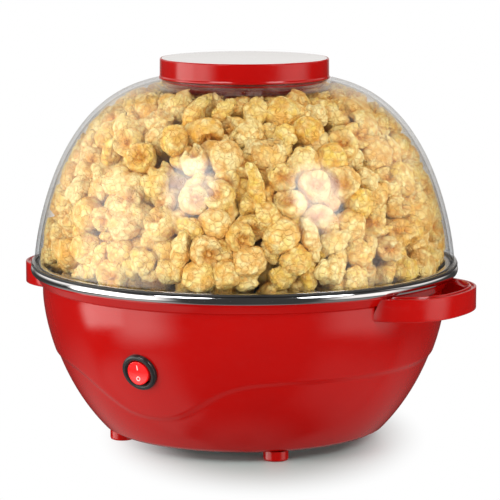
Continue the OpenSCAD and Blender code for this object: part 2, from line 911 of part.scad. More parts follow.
base_housing();
bottom_cover();
foot_front_left();
foot_front_right();
foot_rear_left();
foot_rear_right();
handle_left();
handle_right();
chrome_rim();
rim_seal();
heating_pan();
pan_brackets();
heating_element();
element_clips();
thermostat();
thermal_fuse();
heat_shield();
shaft_bush();
bush_nut();
shaft_seal();
gearbox_case();
gearbox_cover();
motor_can();
stator_coil();
motor_rotor();
idler_gear();
idler_pin();
output_gear();
drive_shaft();
stirring_rod();
stirrer_hub();
stirrer_nut();
switch_bezel();
switch_rocker();
rocker_pin();
switch_terminals();
terminal_block();
cord_gland();
wiring_loom();
cover_screws();
pan_screws();
motor_screws();
handle_screws();
dome_lid();
lid_cap();
cap_disc();
cap_seal();
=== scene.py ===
import math
import random

import bmesh
import bpy
import numpy as np
from mathutils import Euler, Matrix, Vector, noise


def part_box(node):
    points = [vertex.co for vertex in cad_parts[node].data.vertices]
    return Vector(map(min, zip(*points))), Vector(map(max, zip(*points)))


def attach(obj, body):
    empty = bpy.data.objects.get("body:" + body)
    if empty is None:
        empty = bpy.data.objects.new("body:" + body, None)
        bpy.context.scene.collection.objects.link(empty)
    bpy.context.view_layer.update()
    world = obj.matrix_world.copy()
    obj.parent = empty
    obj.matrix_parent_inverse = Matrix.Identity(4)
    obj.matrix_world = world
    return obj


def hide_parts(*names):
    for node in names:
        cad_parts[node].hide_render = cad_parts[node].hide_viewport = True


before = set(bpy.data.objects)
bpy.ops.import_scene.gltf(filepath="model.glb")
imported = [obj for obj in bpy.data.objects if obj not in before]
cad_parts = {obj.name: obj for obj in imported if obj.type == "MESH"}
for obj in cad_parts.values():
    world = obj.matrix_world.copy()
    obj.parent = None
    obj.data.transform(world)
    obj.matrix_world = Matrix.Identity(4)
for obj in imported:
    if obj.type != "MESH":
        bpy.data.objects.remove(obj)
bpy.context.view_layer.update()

# All shapes are drawn in millimetres about the stirring shaft, with z = 0 under the feet.
MM = 0.001
scene = bpy.context.scene
scene.view_settings.view_transform = "Standard"


def mm_box(node):
    """A node's lowest and highest corner in millimetres, to a hundredth."""
    lo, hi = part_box(node)
    return [round(v / MM, 2) for v in lo], [round(v / MM, 2) for v in hi]


# ---------------------------------------------------------------- camera

CAMERA_AZIMUTH = 31.0
camera_data = bpy.data.cameras.new("camera")
camera_data.lens = 189.7
camera_data.sensor_width = 36
camera_data.shift_x = 0.0114
camera = bpy.data.objects.new("camera", camera_data)
camera.location = (0.894, -1.488, 0.388)
camera.rotation_euler = (math.radians(81.35), 0, math.radians(CAMERA_AZIMUTH))
scene.collection.objects.link(camera)
scene.camera = camera


# ---------------------------------------------------------------- shader helpers


class Graph:
    """A material's node tree, built node by node."""

    def __init__(self, name):
        self.material = bpy.data.materials.new(name)
        self.material.use_nodes = True
        self.tree = self.material.node_tree
        self.tree.nodes.clear()
        self.coords = self.node("ShaderNodeTexCoord").outputs["Object"]

    def node(self, kind, inputs=None, **settings):
        made = self.tree.nodes.new(kind)
        for key, value in settings.items():
            setattr(made, key, value)
        for key, value in (inputs or {}).items():
            if isinstance(value, bpy.types.NodeSocket):
                self.tree.links.new(value, made.inputs[key])
            else:
                made.inputs[key].default_value = value
        return made

    def noise(self, size_mm, detail=3.0, coords=None, rough=0.5):
        return self.node(
            "ShaderNodeTexNoise",
            {
                "Vector": coords or self.coords,
                "Scale": 1 / (size_mm * MM),
                "Detail": detail,
                "Roughness": rough,
            },
        ).outputs["Fac"]

    def cells(self, size_mm, feature="F1", coords=None):
        return self.node(
            "ShaderNodeTexVoronoi",
            {"Vector": coords or self.coords, "Scale": 1 / (size_mm * MM)},
            feature=feature,
        ).outputs["Distance"]

    def stretched(self, scale):
        return self.node("ShaderNodeMapping", {"Vector": self.coords, "Scale": scale}).outputs[0]

    def span(self, value, lo, hi, to_lo=0.0, to_hi=1.0, smooth=False):
        return self.node(
            "ShaderNodeMapRange",
            {"Value": value, "From Min": lo, "From Max": hi, "To Min": to_lo, "To Max": to_hi},
            interpolation_type="SMOOTHSTEP" if smooth else "LINEAR",
        ).outputs[0]

    def math(self, operation, a, b=0.0):
        return self.node("ShaderNodeMath", {0: a, 1: b}, operation=operation).outputs[0]

    def mix(self, fac, a, b):
        made = self.node("ShaderNodeMix", data_type="RGBA")
        for index, value in ((0, fac), (6, a), (7, b)):
            if isinstance(value, bpy.types.NodeSocket):
                self.tree.links.new(value, made.inputs[index])
            elif index == 0:
                made.inputs[0].default_value = value
            else:
                made.inputs[index].default_value = (*value, 1.0)
        return made.outputs[2]

    def bump(self, height, distance_mm):
        inputs = {"Height": height, "Distance": distance_mm * MM, "Strength": 1.0}
        return self.node("ShaderNodeBump", inputs).outputs[0]

    def edges(self, radius_mm):
        """1 along outside and inside edges, 0 on open surface."""
        rounded_normal = self.node(
            "ShaderNodeBevel", {"Radius": radius_mm * MM}, samples=4
        ).outputs[0]
        true_normal = self.node("ShaderNodeNewGeometry").outputs["Normal"]
        same = self.node(
            "ShaderNodeVectorMath", {0: rounded_normal, 1: true_normal}, operation="DOT_PRODUCT"
        ).outputs["Value"]
        return self.span(same, 0.995, 0.9)

    def principled(self, **inputs):
        names = {
            "color": "Base Color",
            "rough": "Roughness",
            "metal": "Metallic",
            "normal": "Normal",
            "subsurface": "Subsurface Weight",
            "radius": "Subsurface Radius",
            "scale": "Subsurface Scale",
        }
        return self.node("ShaderNodeBsdfPrincipled", {names[k]: v for k, v in inputs.items()})

    def finish(self, shader):
        output = self.node("ShaderNodeOutputMaterial")
        self.tree.links.new(shader, output.inputs["Surface"])
        return self.material


def moulded(name, colour, second, rough=(0.2, 0.3), grain_mm=0.8, bump_mm=0.01, metal=0.0,
            patch_mm=30, worn=None, worn_rough=0.5, stretch=None):
    """A plain finish: two close tones in patches, uneven roughness, a fine grain and worn edges."""
    g = Graph(name)
    coords = g.stretched(stretch) if stretch else g.coords
    patches = g.noise(patch_mm, 4)
    grain = g.noise(grain_mm, 4, coords)
    tone = g.mix(g.span(patches, 0.35, 0.65), colour, second)
    tone = g.mix(g.span(grain, 0.3, 0.7, 0.0, 0.25), tone, second)
    roughness = g.span(g.math("ADD", patches, grain), 0.6, 1.4, *rough)
    if worn:
        edge = g.math("MULTIPLY", g.edges(0.5), g.span(g.noise(4), 0.4, 0.6, 0.1, 0.6))
        tone = g.mix(edge, tone, worn)
        roughness = g.math("ADD", roughness, g.math("MULTIPLY", edge, worn_rough - rough[0]))
    shader = g.principled(color=tone, rough=roughness, metal=metal, normal=g.bump(grain, bump_mm))
    return g.finish(shader.outputs[0])


# ---------------------------------------------------------------- materials


def red_plastic():
    g = Graph("red_plastic")
    patches = g.noise(70, 3)
    specks = g.noise(1.6, 5)
    tone = g.mix(g.span(patches, 0.3, 0.7), (0.355, 0.0020, 0.0012), (0.318, 0.0014, 0.0008))
    tone = g.mix(g.span(specks, 0.62, 0.72, 0, 0.25), tone, (0.43, 0.005, 0.004))
    scuffs = g.noise(9, 6, g.stretched((1, 1, 7)))
    roughness = g.span(g.math("ADD", patches, g.span(scuffs, 0.45, 0.75)), 0.3, 1.4, 0.10, 0.18)
    edge = g.math("MULTIPLY", g.edges(0.35), g.span(g.noise(6), 0.4, 0.65, 0.0, 0.35))
    tone = g.mix(edge, tone, (0.52, 0.03, 0.02))
    peel = g.noise(4.5, 1)
    shader = g.principled(color=tone, rough=roughness, normal=g.bump(peel, 0.012))
    return g.finish(shader.outputs[0])


def clear_plastic():
    """Clear but for a slight rim shade, with a mirror share that grows at grazing angles."""
    g = Graph("clear_plastic")
    facing = g.node("ShaderNodeLayerWeight", {"Blend": 0.5}).outputs["Facing"]
    film = g.noise(45, 4)
    rim_shade = g.span(facing, 0.6, 0.95, smooth=True)
    tint = g.mix(rim_shade, (0.99, 0.995, 0.995), (0.90, 0.91, 0.92))
    clear = g.node("ShaderNodeBsdfTransparent", {"Color": tint})
    mirror = g.node(
        "ShaderNodeBsdfGlossy",
        {"Color": (1, 1, 1, 1), "Roughness": g.span(film, 0.3, 0.7, 0.15, 0.21),
         "Normal": g.bump(g.noise(60, 1), 0.05)},
    )
    grazing = g.math("POWER", facing, 5.0)
    share = g.math("ADD", g.math("MULTIPLY", grazing, 0.66), 0.04)
    both = g.node("ShaderNodeMixShader", {0: share, 1: clear.outputs[0], 2: mirror.outputs[0]})
    return g.finish(both.outputs[0])


def chrome():
    g = Graph("chrome")
    film = g.noise(30, 4)
    streaks = g.noise(0.5, 3, g.stretched((1, 1, 0.04)))
    tone = g.mix(g.span(film, 0.35, 0.65), (0.80, 0.80, 0.81), (0.72, 0.725, 0.74))
    roughness = g.span(g.math("ADD", film, streaks), 0.7, 1.3, 0.05, 0.11)
    shader = g.principled(color=tone, rough=roughness, metal=1.0, normal=g.bump(streaks, 0.002))
    return g.finish(shader.outputs[0])


def rocker_red():
    g = Graph("rocker_red")
    patches = g.noise(3, 3)
    tone = g.mix(patches, (0.80, 0.008, 0.008), (0.66, 0.004, 0.006))
    shader = g.principled(color=tone, rough=g.span(patches, 0.3, 0.7, 0.14, 0.24),
                          subsurface=0.3, radius=(1.0, 0.2, 0.1), scale=0.003,
                          normal=g.bump(g.noise(0.7, 3), 0.012))
    return g.finish(shader.outputs[0])


def popcorn():
    """The kernels carry creases, hollows and their own tone in a colour attribute; the shader
    darkens creases and hollows as painted shade.
    """
    g = Graph("popcorn")
    facts = g.node("ShaderNodeAttribute", attribute_name="kernel").outputs["Color"]
    parts = g.node("ShaderNodeSeparateColor", {"Color": facts}).outputs
    crease_shade, hollow_shade, tone_number = parts[0], parts[1], parts[2]
    ramp = g.node("ShaderNodeValToRGB", {"Fac": tone_number})
    stops = ((0.0, (0.89, 0.595, 0.14)), (0.25, (0.90, 0.65, 0.21)), (0.5, (0.87, 0.57, 0.085)),
             (0.75, (0.91, 0.70, 0.29)), (1.0, (0.86, 0.475, 0.07)))
    while len(ramp.color_ramp.elements) < len(stops):
        ramp.color_ramp.elements.new(0.5)
    for element, (place, colour) in zip(ramp.color_ramp.elements, stops):
        element.position = place
        element.color = (*colour, 1)
    patches = g.noise(5, 5)
    drift = g.node("ShaderNodeTexNoise", {"Vector": g.coords, "Scale": 320.0}).outputs["Color"]
    drift = g.node("ShaderNodeVectorMath", {0: drift, 1: (0.0034,) * 3}, operation="MULTIPLY")
    warped = g.node("ShaderNodeVectorMath", {0: g.coords, 1: drift.outputs[0]}, operation="ADD")
    crackle = g.cells(4.2, "DISTANCE_TO_EDGE", warped.outputs[0])
    tone = g.mix(g.span(patches, 0.38, 0.68, 0, 0.7), ramp.outputs[0], (0.99, 0.86, 0.44))
    tone = g.mix(g.span(crackle, 0.0, 0.06, 0.5, 0.0), tone, (0.70, 0.30, 0.04))
    # Painted shade: the creases between lobes are darkened to orange-brown.
    tone = g.mix(g.span(crease_shade, 0.0, 0.6, 0.8, 0.0), tone, (0.74, 0.32, 0.04))
    blush = g.math("MULTIPLY", g.span(g.noise(11, 4), 0.54, 0.68), 0.5)
    tone = g.mix(blush, tone, (0.90, 0.47, 0.06))
    # Painted shade: the hollows of cup and fold kernels are darkened to orange-brown.
    tone = g.mix(hollow_shade, tone, g.mix(g.span(g.noise(2.2, 4), 0.4, 0.6), (0.62, 0.22, 0.02),
                                     (0.80, 0.40, 0.06)))
    wrinkles = g.math("ADD", g.span(crackle, 0.0, 0.12, 0, 0.6), g.noise(1.6, 6, rough=0.62))
    shader = g.principled(color=tone, rough=g.span(patches, 0.3, 0.7, 0.42, 0.62),
                          normal=g.bump(wrinkles, 0.9))
    return g.finish(shader.outputs[0])


WHITE_WORN = (0.7, 0.7, 0.7)
MATERIALS = {
    "red_plastic": red_plastic(),
    "clear_plastic": clear_plastic(),
    "chrome": chrome(),
    "rocker_red": rocker_red(),
    "popcorn": popcorn(),
    "black_rubber": moulded("black_rubber", (0.012,) * 3, (0.022,) * 3, (0.45, 0.6), 0.5, 0.02),
    "nonstick": moulded("nonstick", (0.025, 0.025, 0.027), (0.045, 0.045, 0.048), (0.3, 0.45),
                        0.4, 0.02, worn=(0.3, 0.3, 0.31)),
    "steel": moulded("steel", (0.56, 0.56, 0.57), (0.48, 0.48, 0.5), (0.2, 0.34), 0.25, 0.006,
                     metal=1.0, worn=WHITE_WORN, stretch=(1, 1, 8)),
    "heater_sheath": moulded("heater_sheath", (0.30, 0.27, 0.24), (0.20, 0.17, 0.16), (0.35, 0.5),
                             0.6, 0.01, metal=1.0, worn=WHITE_WORN),
    "ceramic_white": moulded("ceramic_white", (0.82, 0.80, 0.75), (0.74, 0.72, 0.66),
                             (0.35, 0.5), 0.6, 0.02),
    "brass": moulded("brass", (0.78, 0.55, 0.22), (0.66, 0.45, 0.18), (0.22, 0.36), 0.4, 0.008,
                     metal=1.0, worn=(0.9, 0.75, 0.45)),
    "aluminium": moulded("aluminium", (0.74, 0.75, 0.76), (0.64, 0.65, 0.66), (0.25, 0.4), 0.3,
                         0.01, metal=1.0, worn=WHITE_WORN, stretch=(1, 9, 1)),
    "black_plastic": moulded("black_plastic", (0.010,) * 3, (0.018,) * 3, (0.16, 0.26), 0.7,
                             0.006, worn=(0.09,) * 3),
    "grey_plastic": moulded("grey_plastic", (0.20, 0.21, 0.22), (0.15, 0.155, 0.16), (0.35, 0.5),
                            0.6, 0.02, worn=(0.4,) * 3),
    "gear_nylon": moulded("gear_nylon", (0.78, 0.76, 0.70), (0.70, 0.68, 0.60), (0.3, 0.45), 0.5,
                          0.01, worn=(0.9, 0.89, 0.85)),
    "copper": moulded("copper", (0.80, 0.36, 0.20), (0.62, 0.26, 0.14), (0.22, 0.35), 0.35, 0.05,
                      metal=1.0, stretch=(1, 1, 6)),
    "magnet": moulded("magnet", (0.09, 0.09, 0.10), (0.06, 0.06, 0.065), (0.4, 0.55), 0.5, 0.03,
                      worn=(0.3,) * 3),
    "wire_cover": moulded("wire_cover", (0.80, 0.79, 0.76), (0.70, 0.69, 0.66), (0.4, 0.55), 0.6,
                          0.03),
    "screw_steel": moulded("screw_steel", (0.60, 0.60, 0.62), (0.50, 0.50, 0.53), (0.22, 0.34),
                           0.3, 0.005, metal=1.0, worn=WHITE_WORN),
    "cap_white": moulded("cap_white", (0.80, 0.79, 0.785), (0.75, 0.745, 0.74), (0.1, 0.17), 1.2,
                         0.006, patch_mm=50),
    "mark_ink": moulded("mark_ink", (0.85, 0.62, 0.58), (0.75, 0.5, 0.48), (0.35, 0.5), 0.3,
                        0.005),
}

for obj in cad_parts.values():
    for material_slot in obj.material_slots:
        slot_name = material_slot.material.name.split(".")[0]
        material_slot.material = MATERIALS[slot_name]


# ---------------------------------------------------------------- mesh helpers


def make_object(name, verts, faces, slot, body, replaces=(), sharp_deg=35, matrix=None,
                material=None):
    mesh = bpy.data.meshes.new(name)
    mesh.from_pydata([tuple(v) for v in verts], [], faces)
    if matrix:
        mesh.transform(matrix)
    mesh.transform(Matrix.Scale(MM, 4))
    obj = bpy.data.objects.new(name, mesh)
    scene.collection.objects.link(obj)
    tidy_mesh(obj, sharp_deg)
    if slot:
        dress(obj, slot, body, replaces, material)
    return obj


def tidy_mesh(obj, sharp_deg=35):
    """Merges doubles, turns every face outwards and shades smooth but for real edges."""
    bm = bmesh.new()
    bm.from_mesh(obj.data)
    bmesh.ops.remove_doubles(bm, verts=bm.verts, dist=1e-6)
    bmesh.ops.recalc_face_normals(bm, faces=bm.faces)
    bm.to_mesh(obj.data)
    bm.free()
    obj.data.shade_smooth()
    obj.data.set_sharp_from_angle(angle=math.radians(sharp_deg))


def dress(obj, slot, body, replaces=(), material=None):
    obj.data.materials.clear()
    obj.data.materials.append(MATERIALS[material or slot])
    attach(obj, body)
    if replaces:
        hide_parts(*replaces)


def rounded(corners, steps=6):
    """The closed outline through corners (x, y, radius), each corner rounded to its radius."""
    out = []
    count = len(corners)
    for i, (x, y, radius) in enumerate(corners):
        here = Vector((x, y))
        if radius <= 0:
            out.append((x, y))
            continue
        back = (Vector(corners[i - 1][:2]) - here).normalized()
        ahead = (Vector(corners[(i + 1) % count][:2]) - here).normalized()
        half = back.angle(ahead) / 2
        centre = here + (back + ahead).normalized() * (radius / math.sin(half))
        trim = radius / math.tan(half)
        start, end = here + back * trim, here + ahead * trim
        a0 = math.atan2(start.y - centre.y, start.x - centre.x)
        a1 = math.atan2(end.y - centre.y, end.x - centre.x)
        turn = (a1 - a0 + math.pi) % (2 * math.pi) - math.pi
        for k in range(steps + 1):
            a = a0 + turn * k / steps
            out.append((centre.x + radius * math.cos(a), centre.y + radius * math.sin(a)))
    return out


def revolve_mesh(profile, segments=192, reshape=None):
    """Vertices and faces of a profile of (radius, height) turned about the z axis. A profile whose
    ends are both on the axis is open there, and any other profile is a closed ring."""
    verts, rings = [], []
    for i, (r, z) in enumerate(profile):
        if r < 1e-6:
            rings.append([len(verts)])
            verts.append((0.0, 0.0, z))
            continue
        ring = []
        for k in range(segments):
            a = 2 * math.pi * k / segments
            radius = reshape(i, r, z, a) if reshape else r
            ring.append(len(verts))
            verts.append((radius * math.cos(a), radius * math.sin(a), z))
        rings.append(ring)
    faces = []
    pairs = list(zip(rings, rings[1:]))
    if len(rings[0]) > 1 or len(rings[-1]) > 1:
        pairs.append((rings[-1], rings[0]))
    for a, b in pairs:
        for k in range(segments):
            n = (k + 1) % segments
            if len(a) == 1 and len(b) == 1:
                break
            if len(a) == 1:
                faces.append((a[0], b[k], b[n]))
            elif len(b) == 1:
                faces.append((a[k], b[0], a[n]))
            else:
                faces.append((a[k], b[k], b[n], a[n]))
    return verts, faces


def revolve(name, profile, slot, body, replaces=(), segments=192, reshape=None, **more):
    verts, faces = revolve_mesh(profile, segments, reshape)
    return make_object(name, verts, faces, slot, body, replaces, **more)


def rod_tool(r, z0, z1, matrix=None, segments=48):
    """A cylinder to add to or cut from a piece."""
    verts, faces = revolve_mesh([(0, z0), (r, z0), (r, z1), (0, z1)], segments)
    return make_object("tool", verts, faces, None, None, matrix=matrix)


def carve(obj, adds=(), cuts=()):
    """Adds and cuts tools by exact booleans, and deletes the tools."""
    for operation, tools in (("UNION", adds), ("DIFFERENCE", cuts)):
        if not tools:
            continue
        group = bpy.data.collections.new("tools")
        for tool in tools:
            group.objects.link(tool)
        modifier = obj.modifiers.new(operation, "BOOLEAN")
        modifier.operation = operation
        modifier.operand_type = "COLLECTION"
        modifier.collection = group
        modifier.solver = "EXACT"
        shaped = bpy.data.meshes.new_from_object(
            obj.evaluated_get(bpy.context.evaluated_depsgraph_get()))
        obj.modifiers.clear()
        obj.data = shaped
        for tool in tools:
            bpy.data.objects.remove(tool)
        bpy.data.collections.remove(group)
    tidy_mesh(obj)


def spin(angle_deg):
    return Matrix.Rotation(math.radians(angle_deg), 4, "Z")


def shift(x, y, z):
    return Matrix.Translation((x, y, z))


def smoothstep(t):
    t = min(max(t, 0.0), 1.0)
    return t * t * (3 - 2 * t)


# ---------------------------------------------------------------- the red base

(_, _, FLOOR_Z), (_, _, BAND_TOP) = mm_box("base_housing")
BODY_R, SHOULDER_Z, BOWL_DROP = 134.2, 98.5, 124.0
FLOOR_T, WALL = 2.6, 3.2
FLOOR_HOLE_R = 58.0
CREASE_STEP, CREASE_Z, CREASE_DIP, CREASE_SOFT = 1.2, 58.0, 28.0, 2.2
CREASE_HALF_W, CREASE_BEND = 45.0, 2.5
POST_CIRCLE_R, COVER_CIRCLE_R = 76.0, 63.0
INLET_FACE, INLET_Z = 118.0, 30.0
SWITCH_Z, SWITCH_LEAN = 63.0, 108.0


def bowl_r(z, inset=0.0):
    if z >= SHOULDER_Z:
        return BODY_R - inset
    return (BODY_R - inset) * (1 - ((SHOULDER_Z - z) / BOWL_DROP) ** 1.64) ** (1 / 2.6)


def below_crease(r, z, a):
    """How far the wall steps in below the wavy crease, from 0 to 1."""
    off_middle = abs(r * math.cos(a)) / CREASE_HALF_W
    edge = CREASE_Z - CREASE_DIP * math.exp(-off_middle ** CREASE_BEND)
    return 1 - smoothstep((z - edge) / (2 * CREASE_SOFT) + 0.5)


SWITCH = shift(0, -bowl_r(SWITCH_Z), SWITCH_Z) @ Matrix.Rotation(math.radians(SWITCH_LEAN), 4, "X")


def red_shell():
    foot_r = bowl_r(FLOOR_Z)
    corner = [(foot_r - 2.6, FLOOR_Z + 0.05), (foot_r - 1.2, FLOOR_Z + 0.42),
              (foot_r - 0.1, FLOOR_Z + 1.2)]
    outer = [(r, FLOOR_Z) for r in (FLOOR_HOLE_R, 70.0, 82.0, foot_r - 4.5)]
    wall_foot = len(outer)
    outer += corner
    heights = [8.6 + 0.9 * k for k in range(100)]
    outer += [(bowl_r(z), z) for z in heights if z < SHOULDER_Z] + [(BODY_R, SHOULDER_Z)]
    wall_top = len(outer)
    band = rounded([(BODY_R, 101.0, 0), (BODY_R, 103.6, 0.5), (136.0, 104.6, 0.6),
                    (138.8, 109.2, 1.2), (139.0, BAND_TOP, 0.35), (137.6, BAND_TOP, 0),
                    (137.6, 109.0, 0), (BODY_R - WALL, 109.0, 0)], 4)
    inner_heights = [SHOULDER_Z - 2.5 * k for k in range(36) if SHOULDER_Z - 2.5 * k > 10.5]
    inner = [(bowl_r(z, WALL), z) for z in inner_heights]
    floor_top = FLOOR_Z + FLOOR_T
    inner += [(r, floor_top) for r in (bowl_r(floor_top, WALL), 75.0, FLOOR_HOLE_R)]
    profile = outer + band + inner

    def reshape(i, r, z, a):
        if wall_foot <= i < wall_top:
            return r - CREASE_STEP * below_crease(r, z, a)
        return r

    shell = revolve("red_shell", profile, "red_plastic", "base", ("base_housing",),
                    segments=288, reshape=reshape)
    adds, cuts = [], []
    for k in range(3):
        place = spin(120 * k) @ shift(POST_CIRCLE_R, 0, 0)
        adds += [rod_tool(6.5, 7.5, 50, place), rod_tool(4.5, 8, 64, place)]
        cuts += [rod_tool(4, 4, 58, place), rod_tool(2, 50, 66, place)]
    for k in range(4):
        place = spin(45 + 90 * k) @ shift(COVER_CIRCLE_R, 0, 0)
        adds.append(rod_tool(4.5, 7.5, 20.5, place))
        cuts.append(rod_tool(1.5, 4, 16.5, place))
    inlet = shift(0, INLET_FACE, INLET_Z) @ Matrix.Rotation(math.radians(-90), 4, "X")
    adds.append(rod_tool(11, -22, 0, inlet))
    cuts.append(rod_tool(7, -24, 1, inlet))
    cuts.append(rod_tool(10.05, -12, 4, SWITCH))
    carve(shell, adds, cuts)
    return shell


red_shell()


# ---------------------------------------------------------------- handles

_, (HANDLE_TIP, _, _) = mm_box("handle_right")
HANDLE_C, HANDLE_HALF_W, HANDLE_BAND = 118.0, 50.0, 6.0
HANDLE_POWER = 2 / 2.4


def rail(inset, z, steps=72):
    """One line of the handle's surface, from root to root, at this distance in from its outside."""
    a, b = HANDLE_TIP - HANDLE_C - inset, HANDLE_HALF_W - inset * (HANDLE_BAND + 5) / HANDLE_BAND
    root_r = 132.5 if z < 108.5 else 138.2

    def point(q):
        c, s = max(math.cos(q), 0.0), math.sin(q)
        return (HANDLE_C + a * c ** HANDLE_POWER, b * math.copysign(abs(s) ** HANDLE_POWER, s))

    low, high = 0.0, math.pi / 2
    for _ in range(40):
        mid = (low + high) / 2
        low, high = (mid, high) if math.hypot(*point(mid)) > root_r else (low, mid)
    return [(*point(low * k / steps), z) for k in range(-steps, steps + 1)]


def handle(name, node, turn):
    section = rounded([(0.0, 94.5, 0.9), (0.0, 109.4, 0.5), (1.2, 109.4, 0.3),
                       (1.5, 108.3, 0.15), (2.6, 108.3, 0.15), (2.9, 110.2, 0.35),
                       (3.5, 110.2, 0.25), (HANDLE_BAND, 107.6, 0.5), (HANDLE_BAND, 94.5, 0.9)], 4)
    rails = [rail(d, z) for d, z in section]
    verts = [p for line in rails for p in line]
    n, count = len(rails[0]), len(rails)
    faces = [(i * n + k, ((i + 1) % count) * n + k, ((i + 1) % count) * n + k + 1, i * n + k + 1)
             for i in range(count) for k in range(n - 1)]
    faces += [tuple(i * n for i in range(count)), tuple(i * n + n - 1 for i in range(count))]
    return make_object(name, verts, faces, "red_plastic", "base", (node,), matrix=spin(turn),
                       sharp_deg=50)


handle("handle_loop_right", "handle_right", 0)
handle("handle_loop_left", "handle_left", 180)


# ---------------------------------------------------------------- rim

_, (RIM_R, _, RIM_TOP) = mm_box("chrome_rim")
CHROME_TOP = 116.0


def chrome_ring():
    half_h = (CHROME_TOP - BAND_TOP) / 2
    bulge = []
    for k in range(-15, 16):
        a = math.radians(6 * k)
        bulge.append((RIM_R - 1.6 + 1.6 * math.cos(a), BAND_TOP + half_h + half_h * math.sin(a)))
    groove = rounded([(139.85, CHROME_TOP, 0.15), (139.85, 114.8, 0), (136.7, 114.8, 0),
                      (136.7, RIM_TOP, 0.25), (133.6, RIM_TOP, 0.7), (133.0, 115.8, 0.4),
                      (133.0, BAND_TOP, 0.3)], 4)
    revolve("chrome_ring", bulge + groove, "chrome", "base", ("chrome_rim",), segments=288)


def rim_gasket():
    section = rounded([(136.9, 114.8, 0.15), (139.8, 114.8, 0.1), (139.8, 116.05, 0),
                       (141.6, 116.05, 0.3), (141.75, 116.7, 0.4), (141.55, 117.3, 0.3),
                       (139.55, 117.3, 0), (139.55, 115.6, 0), (136.9, 115.6, 0.15)], 4)
    revolve("rim_gasket", section, "black_rubber", "base", ("rim_seal",), segments=288)


chrome_ring()
rim_gasket()


# ---------------------------------------------------------------- dome

DOME_BASE_Z, DOME_BASE_R, DOME_RISE, DOME_WALL = 111.24, 140.0, 130.58, 2.4
_, (_, _, SEAT_Z) = mm_box("dome_lid")
WELL_R, WELL_FLOOR, WELL_T = 54.3, 234.4, 2.4
DOME_CEILING = 235.9


def dome_r(z, inset=0.0):
    inner = 1 - ((z - DOME_BASE_Z) / (DOME_RISE - inset)) ** 1.583
    return (DOME_BASE_R - inset) * max(inner, 0.0) ** (1 / 3.736)


def dome_curve(z0, z1, inset, steps):
    heights = [z0 + (z1 - z0) * math.sin(math.pi / 2 * k / steps) for k in range(steps + 1)]
    return [(dome_r(z, inset), z) for z in heights]


def clear_dome():
    collar = WELL_R + 2.2
    outside = dome_curve(119.5, SEAT_Z - 0.4, 0, 64)
    lip = rounded([(outside[-1][0], SEAT_Z - 0.4, 0), (57.0, SEAT_Z, 0.4), (WELL_R, SEAT_Z, 0.8),
                   (WELL_R, WELL_FLOOR, 1.0), (0, WELL_FLOOR, 0), (0, WELL_FLOOR - WELL_T, 0),
                   (collar, WELL_FLOOR - WELL_T, 1.2)], 4)[1:]
    inside = list(reversed(dome_curve(119.2, DOME_CEILING, DOME_WALL, 56)))
    foot = rounded([(137.1, 118.2, 0.3), (137.1, 115.6, 0.4), (139.5, 115.6, 0.4),
                    (139.5, 117.4, 0.3), (141.1, 117.4, 0.5), (141.4, 118.4, 0.7),
                    (140.2, 119.2, 0.5)], 4)
    dome = revolve("clear_dome", outside + lip + inside + foot, "clear_plastic", "dome",
                   ("dome_lid",), segments=256, sharp_deg=50)
    slots = []
    for k in range(12):
        outline = rounded([(24, -1.5, 1.4), (44, -1.5, 1.4), (44, 1.5, 1.4), (24, 1.5, 1.4)], 4)
        n = len(outline)
        verts = [(x, y, z) for z in (WELL_FLOOR - 4, WELL_FLOOR + 2) for x, y in outline]
        faces = [tuple(range(n)), tuple(range(n, 2 * n))]
        faces += [(i, (i + 1) % n, n + (i + 1) % n, n + i) for i in range(n)]
        slots.append(make_object("tool", verts, faces, None, None, matrix=spin(30 * k)))
    carve(dome, cuts=slots)


clear_dome()


# ---------------------------------------------------------------- cap

_, (_, _, CAP_TOP) = mm_box("cap_disc")
CAP_R = 55.8


def cap():
    plug = WELL_R - 0.9
    side = rounded([(0, CAP_TOP - 3.4, 0), (0, CAP_TOP - 1.4, 0), (CAP_R - 1, CAP_TOP - 1.4, 0),
                    (CAP_R - 1, CAP_TOP - 0.2, 0.1), (CAP_R - 0.45, CAP_TOP - 0.15, 0.2),
                    (CAP_R, CAP_TOP - 0.8, 0.6), (CAP_R + 0.1, SEAT_Z + 1.9, 0.6),
                    (CAP_R + 0.5, SEAT_Z + 1.1, 0.3), (CAP_R + 0.5, SEAT_Z + 0.25, 0.25),
                    (CAP_R - 0.1, SEAT_Z, 0.2), (plug, SEAT_Z, 0), (plug, SEAT_Z - 1.4, 0.4),
                    (plug - 1.2, SEAT_Z - 2.6, 0.6), (plug - 2, SEAT_Z - 2.6, 0.4),
                    (plug - 2, CAP_TOP - 5.4, 1), (plug - 4, CAP_TOP - 3.4, 1)], 4)
    revolve("cap_body", side, "red_plastic", "cap", ("lid_cap",), segments=256, sharp_deg=40)
    top = rounded([(0, CAP_TOP - 1.4, 0), (CAP_R - 1.1, CAP_TOP - 1.4, 0),
                   (CAP_R - 1.1, CAP_TOP - 0.3, 0.25), (CAP_R - 1.6, CAP_TOP, 0.6),
                   (0, CAP_TOP, 0)], 5)
    revolve("cap_top", top, "cap_white", "cap", ("cap_disc",), segments=256, sharp_deg=40)


cap()


# ---------------------------------------------------------------- switch

ROCKER_R, PIVOT, ROCKER_TILT = 7.75, 1.0, -7.0
FACE_R, FACE_LOW = 34.0, 3.7
ROCKER = SWITCH @ shift(0, 0, -PIVOT) @ Matrix.Rotation(math.radians(ROCKER_TILT), 4, "X")


def rocker_face(y):
    """Height of the rocker's hollow face, a shallow arc along the way it tips."""
    return FACE_LOW + FACE_R - math.sqrt(FACE_R ** 2 - y * y)


